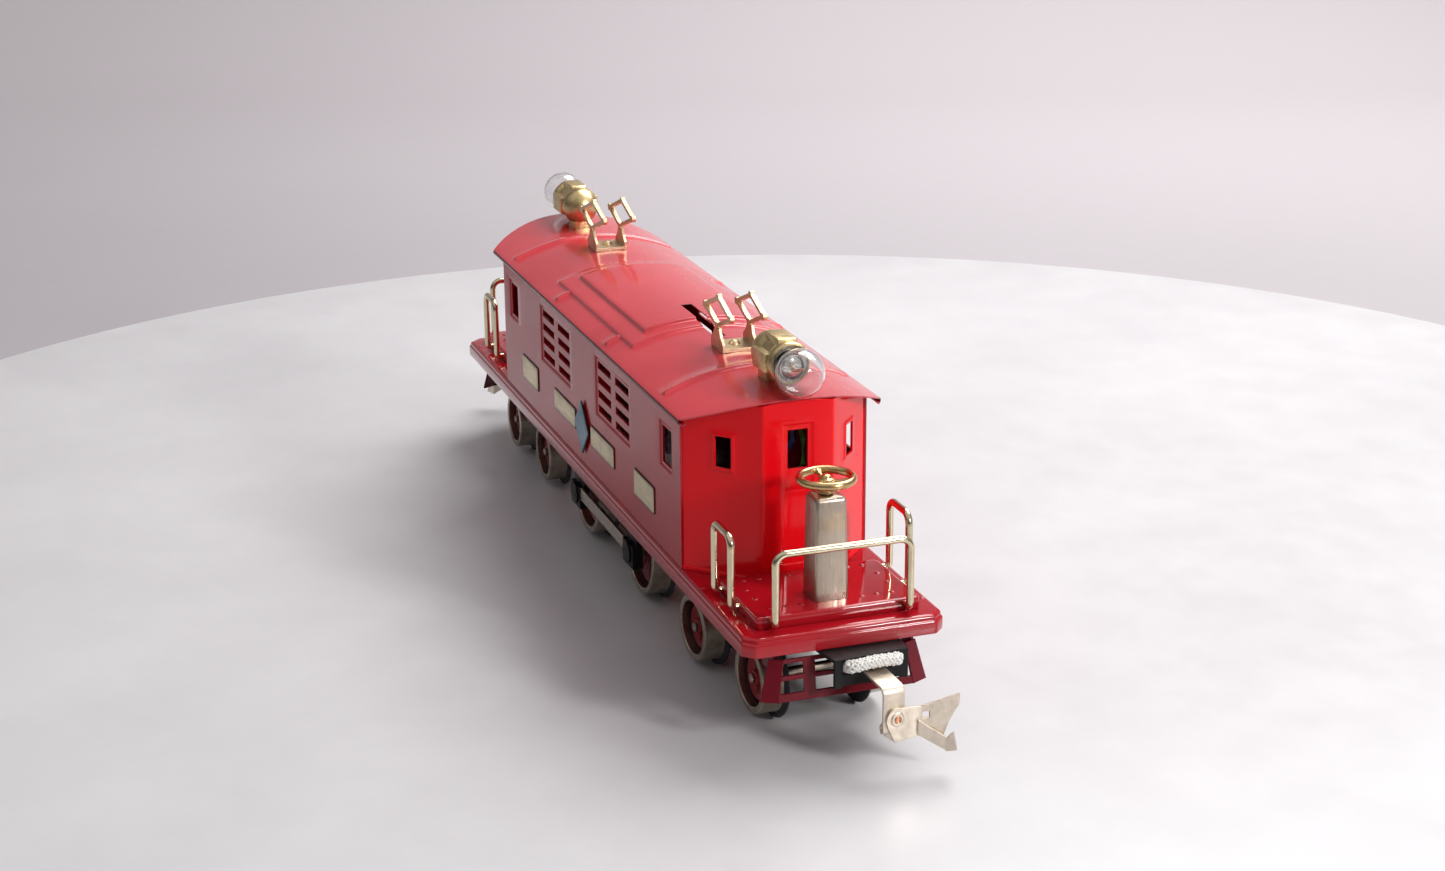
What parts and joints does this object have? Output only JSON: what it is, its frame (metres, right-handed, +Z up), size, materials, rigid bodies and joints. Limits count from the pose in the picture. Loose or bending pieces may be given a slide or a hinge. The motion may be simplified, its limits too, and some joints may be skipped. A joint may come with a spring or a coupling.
{
  "type": "model electric locomotive",
  "caption": "Toy-scale box-cab electric locomotive in stamped sheet metal: end platforms with railings and handwheels, arched roof with lamps and pantographs, swivelling trucks, geared drivers",
  "frame": {"origin": "middle of the locomotive, on the plane the wheel flanges touch", "axes": "+X along the track towards the end with the roof slot, +Y across, +Z up"},
  "size_m": [0.4102, 0.0692, 0.122],
  "materials": {
    "red_enamel": "gloss",
    "maroon_enamel": "gloss",
    "black_enamel": "satin",
    "nickel": "satin",
    "brass": "satin",
    "railing_wire": "polished",
    "plate_metal": "satin",
    "blue_enamel": "satin",
    "glass": "clear",
    "steel": "satin",
    "iron": "matte",
    "copper_winding": "satin",
    "gear_brass": "satin",
    "fibre": "matte",
    "blue_insulation": "satin",
    "green_insulation": "satin",
    "white_cord": "matte"
  },
  "bodies": {
    "chassis": {"underframe": "maroon_enamel", "platform_near": "maroon_enamel", "platform_far": "maroon_enamel", "side_wall_right": "red_enamel", "side_wall_left": "red_enamel", "end_wall_near": "red_enamel", "end_wall_far": "red_enamel", "roof": "red_enamel", "side_plates": "plate_metal", "badges": "blue_enamel", "lamp_near": "brass", "lamp_far": "brass", "bulb_near": "glass", "bulb_far": "glass", "bulb_sockets": "nickel", "pantograph_near": "brass", "pantograph_far": "brass", "roof_rivets": "brass", "front_railing_near": "railing_wire", "front_railing_far": "railing_wire", "side_railings": "railing_wire", "pedestal_near": "nickel", "pedestal_far": "nickel", "pilot_near": "maroon_enamel", "pilot_far": "maroon_enamel", "truck_pivot_screws": "nickel", "motor_side_plates": "steel", "field_core": "iron", "field_coil": "copper_winding", "brush_plate": "fibre", "pickup_shoes": "steel", "reverse_unit": "steel", "wire_blue": "blue_insulation", "wire_green": "green_insulation", "driver_side_frames": "black_enamel", "driver_side_bars": "nickel"},
    "handwheel_near": {"handwheel_near": "brass"},
    "handwheel_far": {"handwheel_far": "brass"},
    "front_drivers": {"front_drivers": "nickel", "front_driver_centres": "red_enamel", "front_driver_gear": "gear_brass"},
    "rear_drivers": {"rear_drivers": "nickel", "rear_driver_centres": "red_enamel", "rear_driver_gear": "gear_brass"},
    "idler": {"idler_gear": "gear_brass"},
    "armature": {"armature": "copper_winding"},
    "reverse_lever": {"reverse_lever": "black_enamel"},
    "truck_near": {"truck_frame_near": "black_enamel", "coupler_cord": "white_cord"},
    "truck_far": {"truck_frame_far": "black_enamel"},
    "near_outer_axle": {"near_outer_wheels": "nickel"},
    "near_inner_axle": {"near_inner_wheels": "nickel"},
    "far_outer_axle": {"far_outer_wheels": "nickel"},
    "far_inner_axle": {"far_inner_wheels": "nickel"},
    "coupler_near": {"coupler_near": "nickel", "coupler_head_near": "nickel"},
    "coupler_far": {"coupler_far": "nickel", "coupler_head_far": "nickel"}
  },
  "joints": [
    {"name": "handwheel_near_turn", "type": "hinge", "parent": "chassis", "child": "handwheel_near", "pos_m": [0.159, 0, 0.0831], "axis": [0, 0, 1], "continuous": true},
    {"name": "handwheel_far_turn", "type": "hinge", "parent": "chassis", "child": "handwheel_far", "pos_m": [-0.159, 0, 0.0831], "axis": [0, 0, 1], "continuous": true},
    {"name": "front_driver_turn", "type": "hinge", "parent": "chassis", "child": "front_drivers", "pos_m": [0.03384, 0, 0.019], "axis": [0, 1, 0], "continuous": true},
    {"name": "rear_driver_turn", "type": "hinge", "parent": "chassis", "child": "rear_drivers", "pos_m": [-0.03384, 0, 0.019], "axis": [0, 1, 0], "continuous": true},
    {"name": "idler_turn", "type": "hinge", "parent": "chassis", "child": "idler", "pos_m": [0, 0, 0.03268], "axis": [0, 1, 0], "continuous": true},
    {"name": "armature_turn", "type": "hinge", "parent": "chassis", "child": "armature", "pos_m": [0, 0, 0.06018], "axis": [0, 1, 0], "continuous": true},
    {"name": "reverse_lever_throw", "type": "hinge", "parent": "chassis", "child": "reverse_lever", "pos_m": [0.0415, 0, 0.0771], "axis": [0, 1, 0], "range_deg": [0, 60]},
    {"name": "truck_near_swivel", "type": "hinge", "parent": "chassis", "child": "truck_near", "pos_m": [0.1203, 0, 0.034], "axis": [0, 0, 1], "range_deg": [-13, 4.2]},
    {"name": "truck_far_swivel", "type": "hinge", "parent": "chassis", "child": "truck_far", "pos_m": [-0.1203, 0, 0.034], "axis": [0, 0, 1], "range_deg": [-8.6, 8.6]},
    {"name": "near_outer_axle_turn", "type": "hinge", "parent": "truck_near", "child": "near_outer_axle", "pos_m": [0.14343, 0.00178, 0.0138], "axis": [-0.0767, 0.9971, 0], "continuous": true},
    {"name": "near_inner_axle_turn", "type": "hinge", "parent": "truck_near", "child": "near_inner_axle", "pos_m": [0.09717, -0.00178, 0.0138], "axis": [-0.0767, 0.9971, 0], "continuous": true},
    {"name": "far_outer_axle_turn", "type": "hinge", "parent": "truck_far", "child": "far_outer_axle", "pos_m": [-0.1435, 0, 0.0138], "axis": [0, 1, 0], "continuous": true},
    {"name": "far_inner_axle_turn", "type": "hinge", "parent": "truck_far", "child": "far_inner_axle", "pos_m": [-0.0971, 0, 0.0138], "axis": [0, 1, 0], "continuous": true},
    {"name": "coupler_near_swing", "type": "hinge", "parent": "truck_near", "child": "coupler_near", "pos_m": [0.18212, 0.00476, 0.0301], "axis": [0, 0, 1], "range_deg": [-16, 12]},
    {"name": "coupler_far_swing", "type": "hinge", "parent": "truck_far", "child": "coupler_far", "pos_m": [-0.1823, 0, 0.0301], "axis": [0, 0, 1], "range_deg": [-14, 14]}
  ],
  "couplings": [
    {"joint": "rear_driver_turn", "follows": "front_driver_turn", "ratio": 1},
    {"joint": "idler_turn", "follows": "front_driver_turn", "ratio": -0.69767},
    {"joint": "armature_turn", "follows": "front_driver_turn", "ratio": 2.5}
  ]
}
